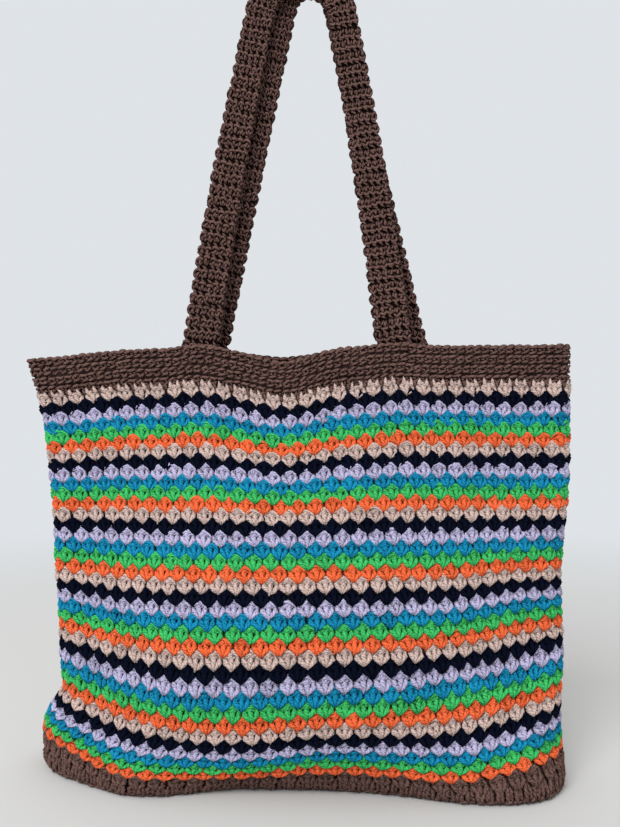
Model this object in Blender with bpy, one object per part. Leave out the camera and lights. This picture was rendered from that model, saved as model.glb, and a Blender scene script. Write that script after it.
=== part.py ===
"""Crocheted tote bag with two straps, standing on its base.

The front faces -Y, +Z is up, and the origin is on the table under the middle of the bag. The body is worked in
rounds on a flat oval base: 36 rounds of treble clusters in a repeat of six colours, then a band of double rows
at the mouth. Two flat straps are sewn inside the band, one on the front wall and one on the back wall.
"""

import math
from collections import namedtuple

import bmesh
import bpy
import numpy as np

# Wall: the fabric's thickness, how far a round stands out at its top, and the gap that loose pieces keep
WALL = 0.0055
RIDGE = 0.0011
GAP = 0.0003

# Base: how high its rim turns up, its floor, its rim rows, and how far the flat underside stops short of the edge
BASE_RIM = 0.0195
BASE_FLOOR = 0.0060
BASE_ROWS = 3
BASE_EDGE_ROUNDING = 0.0050

# Rounds: the six colours from the base up, and the height of each of the six repeats on the front
REPEAT_COLOURS = ("orange", "green", "teal", "lilac", "navy", "beige")
REPEAT_HEIGHTS = (0.0347, 0.0500, 0.0466, 0.0469, 0.0443, 0.0428)

# Band at the mouth: its width laid flat, its height and its rows
MOUTH_WIDTH = 0.400
BAND_HEIGHT = 0.0277
BAND_ROWS = 8

BAND_BOTTOM = BASE_RIM + sum(REPEAT_HEIGHTS)
RIM = BAND_BOTTOM + BAND_HEIGHT

# Straps: width at the feet, thickness, one pair of rows, the narrow row's share of the width, how far a foot
# goes down inside the band, and how far from the middle plane the top bends are
STRAP_WIDTH = 0.0260
STRAP_THICKNESS = 0.0050
STRAP_ROW_PAIR = 0.0090
STRAP_WAIST = 0.93
STRAP_SEAM = 0.0225
STRAP_TOP_Y = 0.0042

# Loop: steps along each long side and round each end. Strap: steps round its top bend
SIDE_STEPS = 8
END_STEPS = 4
BEND_STEPS = 48

# The wall's plan at seven heights. Half widths to the left and right, half depth, radius of the two ends, and
# how sharply the fabric flattens from the middle towards the ends
Station = namedtuple("Station", "height left right depth end flattening")
STATIONS = (
    Station(0.0000, 0.190, 0.189, 0.0355, 0.0300, 1.10),
    Station(0.0200, 0.1905, 0.1865, 0.053, 0.0320, 1.10),
    Station(0.0850, 0.1745, 0.192, 0.074, 0.0240, 1.15),
    Station(0.1500, 0.177, 0.192, 0.060, 0.0160, 1.40),
    Station(0.2150, 0.181, 0.198, 0.037, 0.0110, 2.20),
    Station(0.2800, 0.190, 0.199, 0.021, 0.0090, 2.40),
    Station(RIM, MOUTH_WIDTH / 2, MOUTH_WIDTH / 2, 0.016, 0.0080, 2.00),
)

# A crease pinches the left end in above the lowest rounds: its height, depth and spread
PINCH_HEIGHT = 0.052
PINCH_DEPTH = 0.0085
PINCH_SPREAD = 0.0185

# The base stands a little turned, right end forward, and its front pushes out in two lobes near the corners. These
# fade out round the ends, and both fade out with height
BASE_TURN = 0.10
TURN_FADE = 0.110
Lobe = namedtuple("Lobe", "x spread depth")
BASE_LOBES = (Lobe(-0.112, 0.050, 0.0260), Lobe(0.132, 0.055, 0.0180))
LOBE_FADE = 0.060

# The rim isn't level: it dips in the middle, half as much at the back, rises over the strap feet, leans up to the
# right and droops at the left end. All of it has settled at RIM_SETTLED
RIM_DIP = 0.0105
RIM_DIP_X = -0.0110
RIM_DIP_SPREAD = 0.0290
RIM_BACK_DIP = 0.5
RIM_HUMP = 0.0025
RIM_HUMP_SPREAD = 0.0180
RIM_LEAN = 0.012
RIM_DROOP = 0.0055
RIM_DROOP_START = 0.115
RIM_SETTLED = 0.170

# The lowest rounds curl up towards the two ends
CURL = 0.0100
CURL_TOP = 0.150

# How far the front has settled up, or down where below zero, at eight places along it, for seven heights
SETTLED_AT = (-0.165, -0.125, -0.080, -0.035, 0.015, 0.065, 0.110, 0.155)
Settled = namedtuple("Settled", "height rises")
SETTLED = (
    Settled(0.0000, (0.0,) * len(SETTLED_AT)),
    Settled(0.0300, (-0.0010, -0.0068, -0.0062, -0.0042, 0.0018, 0.0006, -0.0030, 0.0000)),
    Settled(0.0660, (0.0010, -0.0025, -0.0045, -0.0008, 0.0032, 0.0030, 0.0035, 0.0030)),
    Settled(0.1150, (0.0005, -0.0028, -0.0020, 0.0002, 0.0020, 0.0016, 0.0005, 0.0030)),
    Settled(0.2000, (-0.0020, -0.0022, -0.0022, -0.0014, -0.0012, -0.0012, -0.0016, -0.0025)),
    Settled(0.2600, (-0.0020, -0.0014, -0.0010, -0.0023, -0.0026, -0.0016, -0.0003, -0.0013)),
    Settled(RIM, (0.0,) * len(SETTLED_AT)),
)

# Each strap: its wall (-1 front, 1 back), its feet at the rim, and its top bend: where its middle is, how far that
# is above the rim, its radius, and the strap's width there. The last is how far the middle of each leg bows out
Strap = namedtuple("Strap", "side left_foot right_foot bend_x bend_rise radius top_width bow")
FRONT_STRAP = Strap(-1, -0.0721, 0.0708, 0.0020, 0.2415, 0.0310, 0.0210, 0.0020)
BACK_STRAP = Strap(1, -0.0662, 0.0836, 0.0087, 0.2520, 0.0185, 0.0155, 0.0006)

# Yarn: colour as seen, in red, green and blue from 0 to 255, and roughness
YARNS = {
    "orange": (240, 102, 62),
    "green": (66, 176, 98),
    "teal": (28, 132, 168),
    "lilac": (186, 177, 208),
    "navy": (16, 20, 36),
    "beige": (190, 165, 153),
    "brown": (86, 65, 60),
}
YARN_ROUGHNESS = 0.85

SMOOTH_ANGLE = math.radians(40)

ROUNDS = len(REPEAT_COLOURS) * len(REPEAT_HEIGHTS)


def eased(value, places, sizes):
    """Smooth curve through (place, size) pairs, held level outside them."""
    places, sizes = np.asarray(places), np.asarray(sizes)
    slopes = np.gradient(sizes, places)
    value = np.clip(value, places[0], places[-1])
    at = np.clip(np.searchsorted(places, value, side="right") - 1, 0, len(places) - 2)
    step = places[at + 1] - places[at]
    t = (value - places[at]) / step
    low = sizes[at] * (1 + 2 * t) * (1 - t) ** 2 + slopes[at] * step * t * (1 - t) ** 2
    high = sizes[at + 1] * t**2 * (3 - 2 * t) - slopes[at + 1] * step * t**2 * (1 - t)
    return low + high


def station(height):
    """The wall's plan at this height."""
    columns = list(zip(*STATIONS))
    return Station(height, *(eased(height, columns[0], column) for column in columns[1:]))


def bell(x, middle, spread):
    return np.exp(-(((x - middle) / spread) ** 2))


def ramp(value, start, end):
    """0 before start, 1 after end, and a soft S between."""
    t = np.clip((value - start) / (end - start), 0, 1)
    return t * t * (3 - 2 * t)


def plan_loop(height):
    """Middle of the wall, seen from above, as (x, y) points that run counterclockwise from the front left.

    Each long side is a lens on the chord between the end circles' centres, and each end is a half circle.
    """
    plan = station(height)
    share = np.linspace(-1, 1, SIDE_STEPS + 1)
    pinch = PINCH_DEPTH * bell(height, PINCH_HEIGHT, PINCH_SPREAD)
    left, right = plan.left - pinch - plan.end, plan.right - plan.end
    x = np.where(share < 0, share * left, share * right)
    y = plan.end + (plan.depth - plan.end) * (1 - share**2) ** plan.flattening
    turn = np.linspace(-math.pi / 2, math.pi / 2, END_STEPS + 1)[1:-1]
    end_x, end_y = plan.end * np.cos(turn), plan.end * np.sin(turn)
    right_lobe = lobes(right + end_x, height) * ((1 - np.sin(turn)) / 2) ** 2
    left_lobe = lobes(-left - end_x, height) * ((1 + np.sin(turn)) / 2) ** 2
    front = np.column_stack((x, -y - lobes(x, height)))
    back = np.column_stack((x[::-1], y[::-1]))
    right_end = np.column_stack((right + end_x, end_y - right_lobe))
    left_end = np.column_stack((-left - end_x, -end_y - left_lobe))
    loop = np.concatenate((front, right_end, back, left_end))
    loop[:, 1] -= BASE_TURN * loop[:, 0] * (1 - ramp(height, 0, TURN_FADE))
    return loop


def lobes(x, height):
    """How far the front of the base stands out at x, gone by LOBE_FADE above the table."""
    out = sum(lobe.depth * bell(x, lobe.x, lobe.spread) for lobe in BASE_LOBES)
    return out * (1 - ramp(height, 0, LOBE_FADE))


def outward(loop):
    """Unit vectors that point out of a counterclockwise loop, in plan."""
    along = np.roll(loop, -1, axis=0) - np.roll(loop, 1, axis=0)
    normal = np.column_stack((along[:, 1], -along[:, 0]))
    return normal / np.linalg.norm(normal, axis=1, keepdims=True)


def settled(x, height):
    """How far the front lies above its level round at x: the table's rows, blended by height."""
    heights = [row.height for row in SETTLED]
    shares = np.eye(len(SETTLED))
    return sum(
        eased(height, heights, share) * eased(x, SETTLED_AT, row.rises) for row, share in zip(SETTLED, shares)
    )


def rise(loop, height):
    """How far the fabric lies above its level round: uneven at the rim, curled at the ends, settled between."""
    x, y = loop[:, 0], loop[:, 1]
    plan = station(height)
    dip = RIM_DIP * bell(x, RIM_DIP_X, RIM_DIP_SPREAD)
    back_share = ramp(y, -plan.depth, plan.depth)
    dip = dip * (1 - back_share * (1 - RIM_BACK_DIP))
    feet = (FRONT_STRAP.left_foot, FRONT_STRAP.right_foot)
    hump = sum(RIM_HUMP * bell(x, foot, RIM_HUMP_SPREAD) for foot in feet)
    droop = RIM_DROOP * ramp(-x, RIM_DROOP_START, plan.left)
    near_rim = np.clip((height - RIM_SETTLED) / (RIM - RIM_SETTLED), 0, 1)
    rim = near_rim * (hump - dip - droop + RIM_LEAN * x)
    along = np.abs(np.where(x < 0, x / plan.left, x / plan.right))
    curl = CURL * along**5 * ramp(height, 0, BASE_RIM) * (1 - ramp(height, 2 * BASE_RIM, CURL_TOP))
    front_share = ramp(-y, -plan.end, plan.end)
    return rim + curl + front_share * settled(x, height)


def wall_loop(height, out=0.0):
    """Loop of (x, y, z) points round the wall at this height, moved outward from its middle."""
    loop = plan_loop(height)
    lifted = height + rise(loop, height)
    return np.column_stack((loop + out * outward(loop), lifted))


def lofted(name, loops, yarn, ring=False):
    """One closed solid through a run of closed loops, either joined end to end as a ring or capped."""
    loops = np.asarray(loops)
    count, size = loops.shape[:2]
    index = np.arange(count * size).reshape(count, size)
    first = index if ring else index[:-1]
    second = np.roll(index, -1, axis=0)[: len(first)]
    quads = np.stack((first, np.roll(first, -1, axis=1), np.roll(second, -1, axis=1), second), axis=-1)
    faces = quads.reshape(-1, 4).tolist()
    if not ring:
        faces += [index[0, ::-1].tolist(), index[-1].tolist()]
    mesh = bpy.data.meshes.new(name)
    mesh.from_pydata(loops.reshape(-1, 3).tolist(), [], faces)
    return finished(name, mesh, yarn)


def finished(name, mesh, yarn):
    """Object for this mesh, with its faces turned out and its yarn's material."""
    shape = bmesh.new()
    shape.from_mesh(mesh)
    bmesh.ops.recalc_face_normals(shape, faces=shape.faces)
    shape.to_mesh(mesh)
    shape.free()
    mesh.shade_smooth()
    mesh.set_sharp_from_angle(angle=SMOOTH_ANGLE)
    mesh.materials.append(yarn_material(yarn))
    piece = bpy.data.objects.new(name, mesh)
    bag_collection().objects.link(piece)
    return piece


def yarn_material(yarn):
    """Principled material of this yarn, made once."""
    name = f"yarn_{yarn}"
    if name in bpy.data.materials:
        return bpy.data.materials[name]
    seen = np.array(YARNS[yarn]) / 255
    linear = np.where(seen <= 0.04045, seen / 12.92, ((seen + 0.055) / 1.055) ** 2.4)
    material = bpy.data.materials.new(name)
    material.use_nodes = True
    shader = material.node_tree.nodes["Principled BSDF"]
    shader.inputs["Base Color"].default_value = (*linear.tolist(), 1.0)
    shader.inputs["Roughness"].default_value = YARN_ROUGHNESS
    shader.inputs["Metallic"].default_value = 0.0
    return material


def bag_collection():
    """Collection that holds the bag's pieces, made once."""
    name = "crochet_bag"
    if name not in bpy.data.collections:
        bpy.context.scene.collection.children.link(bpy.data.collections.new(name))
    return bpy.data.collections[name]


def row_loops(bottom, top, rows):
    """Outer loops of a stack of rows, each with a groove at its foot and a crest at its middle."""
    pitch = (top - bottom) / rows
    loops = []
    for row in range(rows):
        foot = bottom + row * pitch
        loops.append(wall_loop(foot, WALL / 2 - RIDGE))
        loops.append(wall_loop(foot + pitch / 2, WALL / 2))
    loops.append(wall_loop(top, WALL / 2 - RIDGE))
    return loops


def make_base():
    """Oval dish: a flat underside, a rim of rows that turns up, and the floor inside."""
    top = BASE_RIM - GAP / 2
    underside = wall_loop(0.0, WALL / 2 - BASE_EDGE_ROUNDING)
    rim = row_loops(BASE_EDGE_ROUNDING / 2, top, BASE_ROWS)
    inside = [wall_loop(top, -WALL / 2), wall_loop(BASE_FLOOR, -WALL / 2)]
    inside[1][:, 2] = BASE_FLOOR
    return lofted("base", [underside, *rim, *inside], "brown")


def round_heights():
    """Height of each boundary between rounds on the front, from the base's rim to the band."""
    ends = BASE_RIM + np.concatenate(([0.0], np.cumsum(REPEAT_HEIGHTS)))
    places = np.arange(len(ends)) * len(REPEAT_COLOURS)
    return eased(np.arange(ROUNDS + 1), places, ends)


def make_rounds():
    """One ring for each round of clusters, leaning out a little towards its top."""
    heights = round_heights()
    for number in range(ROUNDS):
        colour = REPEAT_COLOURS[number % len(REPEAT_COLOURS)]
        bottom, top = heights[number] + GAP / 2, heights[number + 1] - GAP / 2
        section = (
            wall_loop(bottom, -WALL / 2),
            wall_loop(bottom, WALL / 2 - RIDGE),
            wall_loop(top, WALL / 2 + RIDGE / 2),
            wall_loop(top, -WALL / 2),
        )
        lofted(f"round_{number + 1:02d}_{colour}", section, colour, ring=True)


def make_band():
    """Ring of rows at the mouth."""
    bottom = BAND_BOTTOM + GAP / 2
    outside = row_loops(bottom, RIM, BAND_ROWS)
    inside = [wall_loop(RIM, -WALL / 2), wall_loop(bottom, -WALL / 2)]
    return lofted("top_band", [*outside, *inside], "brown", ring=True)


def tangent_run(foot, bend, radius, side):
    """Where the straight leg from this foot touches the bend, on the outside of it."""
    reach = bend - foot
    distance = np.linalg.norm(reach)
    bearing = math.atan2(reach[1], reach[0]) - side * math.asin(radius / distance)
    heading = np.array((math.cos(bearing), math.sin(bearing)))
    return heading, foot + heading * math.sqrt(distance**2 - radius**2)


def strap_path(strap):
    """Middle line of a strap in x and z, at even steps of half a row pair: bowed leg, round bend, bowed leg."""
    bend = np.array((strap.bend_x, RIM + strap.bend_rise))
    legs = []
    for foot_x, side in ((strap.left_foot, -1), (strap.right_foot, 1)):
        foot = np.array((foot_x, RIM))
        heading, touch = tangent_run(foot, bend, strap.radius, side)
        legs.append((foot - heading * STRAP_SEAM, touch))
    (left_end, left_touch), (right_end, right_touch) = legs
    start = math.atan2(*(left_touch - bend)[::-1])
    stop = math.atan2(*(right_touch - bend)[::-1])
    turn = np.linspace(start, stop, BEND_STEPS + 1)
    arc = bend + strap.radius * np.column_stack((np.cos(turn), np.sin(turn)))
    line = np.concatenate(([left_end], arc, [right_end]))
    length = np.concatenate(([0.0], np.cumsum(np.linalg.norm(np.diff(line, axis=0), axis=1))))
    steps = 2 * round(length[-1] / STRAP_ROW_PAIR)
    even = np.linspace(0, length[-1], steps + 1)
    x, z = np.interp(even, length, line[:, 0]), np.interp(even, length, line[:, 1])
    bow = strap.bow * np.sin(math.pi * climbed(z, strap))
    return np.column_stack((x + np.sign(x - strap.bend_x) * bow, z))


def climbed(z, strap):
    """Share of the way from the rim to the middle of the strap's bend."""
    return np.clip((z - RIM) / strap.bend_rise, 0, 1)


def foot_depth(strap):
    """Distance from the middle plane to the middle of a strap that lies against the inside of the band."""
    inner = wall_loop(RIM, -WALL / 2)[: SIDE_STEPS + 1]
    reach = STRAP_WIDTH / 2 + STRAP_SEAM / 2
    spots = [strap.left_foot - reach, strap.right_foot + reach]
    face = np.interp(spots, inner[:, 0], -inner[:, 1]).min()
    return face - GAP - STRAP_THICKNESS / 2


def make_strap(name, strap):
    """Flat strap whose edges are scalloped by its row pairs, upright in front of or behind the middle plane."""
    line = strap_path(strap)
    along = np.gradient(line, axis=0)
    along /= np.linalg.norm(along, axis=1, keepdims=True)
    across = np.column_stack((along[:, 1], -along[:, 0]))
    climb = climbed(line[:, 1], strap)
    swell = np.where(np.arange(len(line)) % 2 == 0, STRAP_WAIST, 1.0)
    half_width = swell * (STRAP_WIDTH + (strap.top_width - STRAP_WIDTH) * climb) / 2
    half_thick = swell * STRAP_THICKNESS / 2
    depth = foot_depth(strap)
    middle_y = strap.side * (depth + (STRAP_TOP_Y - depth) * climb)
    corners = []
    for edge, face in ((-1, -1), (1, -1), (1, 1), (-1, 1)):
        flat = line + across * (edge * half_width)[:, None]
        corners.append(np.column_stack((flat[:, 0], middle_y + face * half_thick, flat[:, 1])))
    return lofted(name, np.stack(corners, axis=1), "brown")


def main():
    for old in list(bpy.data.objects):
        bpy.data.objects.remove(old, do_unlink=True)
    make_base()
    make_rounds()
    make_band()
    make_strap("front_strap", FRONT_STRAP)
    make_strap("back_strap", BACK_STRAP)


main()
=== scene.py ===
"""Crocheted tote bag: the yarn of its base, rounds, band and straps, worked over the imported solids.

The yarn follows the wall of the bag. A place on the wall is given by how far it is along a round, up the
slope and out of the face, so every strand is made flat, once, and then laid on the wall for its copies.
"""

import math
from collections import namedtuple

import bpy
import numpy as np
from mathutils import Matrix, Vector


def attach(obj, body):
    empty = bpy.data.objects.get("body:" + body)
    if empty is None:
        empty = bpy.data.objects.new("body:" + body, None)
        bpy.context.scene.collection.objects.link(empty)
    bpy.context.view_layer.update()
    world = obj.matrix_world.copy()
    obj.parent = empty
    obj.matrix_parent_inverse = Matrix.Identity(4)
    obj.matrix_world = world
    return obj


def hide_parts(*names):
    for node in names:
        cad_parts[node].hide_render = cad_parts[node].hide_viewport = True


bl_info = {
    "name": "Crocheted tote bag",
    "version": (1, 0, 0),
    "blender": (4, 5, 0),
    "location": "View3D > Sidebar > Crochet",
    "description": "Builds the clusters, stitches, straps and stage of a crocheted tote bag",
    "category": "Object",
}

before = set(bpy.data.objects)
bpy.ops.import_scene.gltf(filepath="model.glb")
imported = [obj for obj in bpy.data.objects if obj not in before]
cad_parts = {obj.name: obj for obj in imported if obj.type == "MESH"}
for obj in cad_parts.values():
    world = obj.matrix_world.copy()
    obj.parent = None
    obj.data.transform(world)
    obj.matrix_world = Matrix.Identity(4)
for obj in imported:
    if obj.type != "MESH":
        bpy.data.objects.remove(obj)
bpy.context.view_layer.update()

MM = 0.001

# Wall of the bag, as its solids have it: base rim, the height of each repeat of six rounds, and the band at
# the mouth. Of the yarn alone: how high the rope at the base's edge and its underside's stitches lie
WALL = 0.0055
BASE_RIM = 0.0195
BASE_FLOOR = 0.0060
BASE_EDGE, UNDERSIDE = 0.0015, 0.0021
REPEAT_COLOURS = ("orange", "green", "teal", "lilac", "navy", "beige")
REPEAT_HEIGHTS = (0.0347, 0.0500, 0.0466, 0.0469, 0.0443, 0.0428)
ROUNDS = len(REPEAT_COLOURS) * len(REPEAT_HEIGHTS)
BAND_HEIGHT = 0.0277
BAND_BOTTOM = BASE_RIM + sum(REPEAT_HEIGHTS)
RIM = BAND_BOTTOM + BAND_HEIGHT
MOUTH_WIDTH = 0.400

Station = namedtuple("Station", "height left right depth end flattening")
STATIONS = (
    Station(0.0000, 0.190, 0.189, 0.0355, 0.0300, 1.10),
    Station(0.0200, 0.1905, 0.1865, 0.053, 0.0320, 1.10),
    Station(0.0850, 0.1745, 0.192, 0.074, 0.0240, 1.15),
    Station(0.1500, 0.177, 0.192, 0.060, 0.0160, 1.40),
    Station(0.2150, 0.181, 0.198, 0.037, 0.0110, 2.20),
    Station(0.2800, 0.190, 0.199, 0.021, 0.0090, 2.40),
    Station(RIM, MOUTH_WIDTH / 2, MOUTH_WIDTH / 2, 0.016, 0.0080, 2.00),
)
PINCH_HEIGHT, PINCH_DEPTH, PINCH_SPREAD = 0.052, 0.0085, 0.0185
BASE_TURN, TURN_FADE = 0.10, 0.110
Lobe = namedtuple("Lobe", "x spread depth")
BASE_LOBES = (Lobe(-0.112, 0.050, 0.0260), Lobe(0.132, 0.055, 0.0180))
LOBE_FADE = 0.060
RIM_DIP, RIM_DIP_X, RIM_DIP_SPREAD, RIM_BACK_DIP = 0.0105, -0.0110, 0.0290, 0.5
RIM_HUMP, RIM_HUMP_SPREAD = 0.0025, 0.0180
RIM_LEAN, RIM_DROOP, RIM_DROOP_START = 0.012, 0.0055, 0.115
RIM_SETTLED = 0.170
CURL, CURL_TOP = 0.0100, 0.150

# How far the front has settled up, or down where below zero, at eight places along it, for seven heights
SETTLED_AT = (-0.165, -0.125, -0.080, -0.035, 0.015, 0.065, 0.110, 0.155)
Settled = namedtuple("Settled", "height rises")
SETTLED = (
    Settled(0.0000, (0.0,) * len(SETTLED_AT)),
    Settled(0.0300, (-0.0010, -0.0068, -0.0062, -0.0042, 0.0018, 0.0006, -0.0030, 0.0000)),
    Settled(0.0660, (0.0010, -0.0025, -0.0045, -0.0008, 0.0032, 0.0030, 0.0035, 0.0030)),
    Settled(0.1150, (0.0005, -0.0028, -0.0020, 0.0002, 0.0020, 0.0016, 0.0005, 0.0030)),
    Settled(0.2000, (-0.0020, -0.0022, -0.0022, -0.0014, -0.0012, -0.0012, -0.0016, -0.0025)),
    Settled(0.2600, (-0.0020, -0.0014, -0.0010, -0.0023, -0.0026, -0.0016, -0.0003, -0.0013)),
    Settled(RIM, (0.0,) * len(SETTLED_AT)),
)

# Straps, as their solids have them
STRAP_WIDTH = 0.0260
STRAP_THICKNESS = 0.0050
STRAP_ROW_PAIR = 0.0090
STRAP_SEAM = 0.0225
STRAP_TOP_Y = 0.0042
GAP = 0.0003
Strap = namedtuple("Strap", "side left_foot right_foot bend_x bend_rise radius top_width bow")
STRAPS = {
    "front_strap": Strap(-1, -0.0721, 0.0708, 0.0020, 0.2415, 0.0310, 0.0210, 0.0020),
    "back_strap": Strap(1, -0.0662, 0.0836, 0.0087, 0.2520, 0.0185, 0.0155, 0.0006),
}

# Fineness of the wall: columns on each long side (even) and round each end
SIDE_COLUMNS = 120
END_COLUMNS = 24

SEED = 20

# How many random variations are made of a flat shape that shows much, less and least
MANY, SOME, FEW = 16, 12, 8


def eased(value, places, sizes):
    """Cubic curve through (place, size) pairs with slopes from its neighbours, level outside them."""
    places, sizes = np.asarray(places), np.asarray(sizes)
    slopes = np.gradient(sizes, places)
    value = np.clip(value, places[0], places[-1])
    at = np.clip(np.searchsorted(places, value, side="right") - 1, 0, len(places) - 2)
    step = places[at + 1] - places[at]
    t = (value - places[at]) / step
    low = sizes[at] * (1 + 2 * t) * (1 - t) ** 2 + slopes[at] * step * t * (1 - t) ** 2
    high = sizes[at + 1] * t**2 * (3 - 2 * t) - slopes[at + 1] * step * t**2 * (1 - t)
    return low + high


def bell(x, middle, spread):
    """e to the minus square of the distance from the middle, in spreads."""
    return np.exp(-(((x - middle) / spread) ** 2))


def ramp(value, start, end):
    """0 before start, 1 after end, and 3t squared less 2t cubed between."""
    t = np.clip((value - start) / (end - start), 0, 1)
    return t * t * (3 - 2 * t)


def unit(vectors):
    """The vectors, each made one long."""
    return vectors / np.linalg.norm(vectors, axis=-1, keepdims=True)


def plan_at(height):
    """Plan of the wall at a height, blended between the stations."""
    columns = list(zip(*STATIONS))
    return Station(height, *(eased(height, columns[0], column) for column in columns[1:]))


def wall_loop(height):
    """Middle of the wall at a height, as points from the front's middle to the right and round.

    Each long side is a lens, depth times (1 - share squared) to a power, each end a half circle. The base
    is turned and pushed out in two lobes that fade round the ends, and the rim rises and dips.
    """
    plan = plan_at(height)
    share = np.linspace(-1, 1, SIDE_COLUMNS + 1)
    pinch = PINCH_DEPTH * bell(height, PINCH_HEIGHT, PINCH_SPREAD)
    left, right = plan.left - pinch - plan.end, plan.right - plan.end
    x = np.where(share < 0, share * left, share * right)
    y = plan.end + (plan.depth - plan.end) * (1 - share**2) ** plan.flattening
    turn = np.linspace(-math.pi / 2, math.pi / 2, END_COLUMNS + 1)[1:-1]
    end_x, end_y = plan.end * np.cos(turn), plan.end * np.sin(turn)
    right_lobe = lobes(right + end_x, height) * ((1 - np.sin(turn)) / 2) ** 2
    left_lobe = lobes(-left - end_x, height) * ((1 + np.sin(turn)) / 2) ** 2
    front = np.column_stack((x, -y - lobes(x, height)))
    back = np.column_stack((x[::-1], y[::-1]))
    right_end = np.column_stack((right + end_x, end_y - right_lobe))
    left_end = np.column_stack((-left - end_x, -end_y - left_lobe))
    loop = np.concatenate((front, right_end, back, left_end))
    loop[:, 1] -= BASE_TURN * loop[:, 0] * (1 - ramp(height, 0, TURN_FADE))
    loop = np.column_stack((loop, height + rise(loop, height, plan)))
    return np.roll(loop, -(SIDE_COLUMNS // 2), axis=0)


def lobes(x, height):
    """How far the front of the base stands out at x, gone by LOBE_FADE above the table."""
    out = sum(lobe.depth * bell(x, lobe.x, lobe.spread) for lobe in BASE_LOBES)
    return out * (1 - ramp(height, 0, LOBE_FADE))


def settled(x, height):
    """How far the front lies above its level round at x: the table's rows, blended by height."""
    heights = [row.height for row in SETTLED]
    shares = np.eye(len(SETTLED))
    return sum(
        eased(height, heights, share) * eased(x, SETTLED_AT, row.rises)
        for row, share in zip(SETTLED, shares)
    )


def rise(loop, height, plan):
    """How far the fabric lies above its level round: uneven rim, curled ends, and settled between."""
    x, y = loop[:, 0], loop[:, 1]
    dip = RIM_DIP * bell(x, RIM_DIP_X, RIM_DIP_SPREAD)
    dip = dip * (1 - ramp(y, -plan.depth, plan.depth) * (1 - RIM_BACK_DIP))
    feet = (STRAPS["front_strap"].left_foot, STRAPS["front_strap"].right_foot)
    hump = sum(RIM_HUMP * bell(x, foot, RIM_HUMP_SPREAD) for foot in feet)
    droop = RIM_DROOP * ramp(-x, RIM_DROOP_START, plan.left)
    near_rim = np.clip((height - RIM_SETTLED) / (RIM - RIM_SETTLED), 0, 1)
    along = np.abs(np.where(x < 0, x / plan.left, x / plan.right))
    curl = CURL * along**5 * ramp(height, 0, BASE_RIM) * (1 - ramp(height, 2 * BASE_RIM, CURL_TOP))
    front_share = ramp(-y, -plan.end, plan.end)
    return near_rim * (hump - dip - droop + RIM_LEAN * x) + curl + front_share * settled(x, height)


Strip = namedtuple("Strip", "place up out arc")


def strip_of(place, above, below):
    """Closed strip of cloth: its middle points, the ways up its slope and out, and the length so far."""
    along = unit(np.roll(place, -1, axis=0) - np.roll(place, 1, axis=0))
    up = unit(above - below)
    out = unit(np.cross(along, up))
    rows = [np.concatenate((row, row[:1])) for row in (place, up, out)]
    steps = np.linalg.norm(np.diff(rows[0], axis=0), axis=1)
    return Strip(*rows, np.concatenate(([0.0], np.cumsum(steps))))


def wall_strip(height, reach=0.003):
    """Strip of the wall at a height, its slope taken from a little above and below it."""
    return strip_of(wall_loop(height), wall_loop(height + reach), wall_loop(height - reach))


def laid(strip, along, up, out):
    """Flat places put on the cloth: the strip's point at that length, moved up its slope and out of it."""
    at = np.interp(along % strip.arc[-1], strip.arc, np.arange(len(strip.arc)))
    low = np.minimum(at.astype(int), len(strip.arc) - 2)
    share = (at - low)[..., None]
    place, slope, face = (row[low] * (1 - share) + row[low + 1] * share for row in strip[:3])
    return place + slope * up[..., None] + face * out[..., None]


# Points round a closed core, and where its inside lies from the middle of the wall, in mm
LOOP_POINTS = 360
INNER_FACE = -2.6


def level_loop(height, out):
    """Evenly spaced loop of points round the wall at a height, out from the wall's middle in millimetres."""
    strip = wall_strip(height)
    places = np.arange(LOOP_POINTS) / LOOP_POINTS * strip.arc[-1]
    return laid(strip, places, np.zeros(LOOP_POINTS), np.full(LOOP_POINTS, out * MM))


def between(first, second):
    """Four-cornered faces between rows of points and the rows after them, each row closed to a ring."""
    return np.stack((first, np.roll(first, -1, 1), np.roll(second, -1, 1), second), axis=-1).reshape(-1, 4)


# Painted shade: how much darker a strand's two ends are, where they go under the next one; how much narrower
# they are; and how much painted shade darkens the cloth behind the strands
END_SHADE = 0.25
END_TAPER = 0.55
CORE_SHADE = 0.6

# Each point's painted shade: darker in the hollows, under crossing yarn and on the cloth behind the stitches
Strand = namedtuple("Strand", "points faces uv deep")


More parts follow.
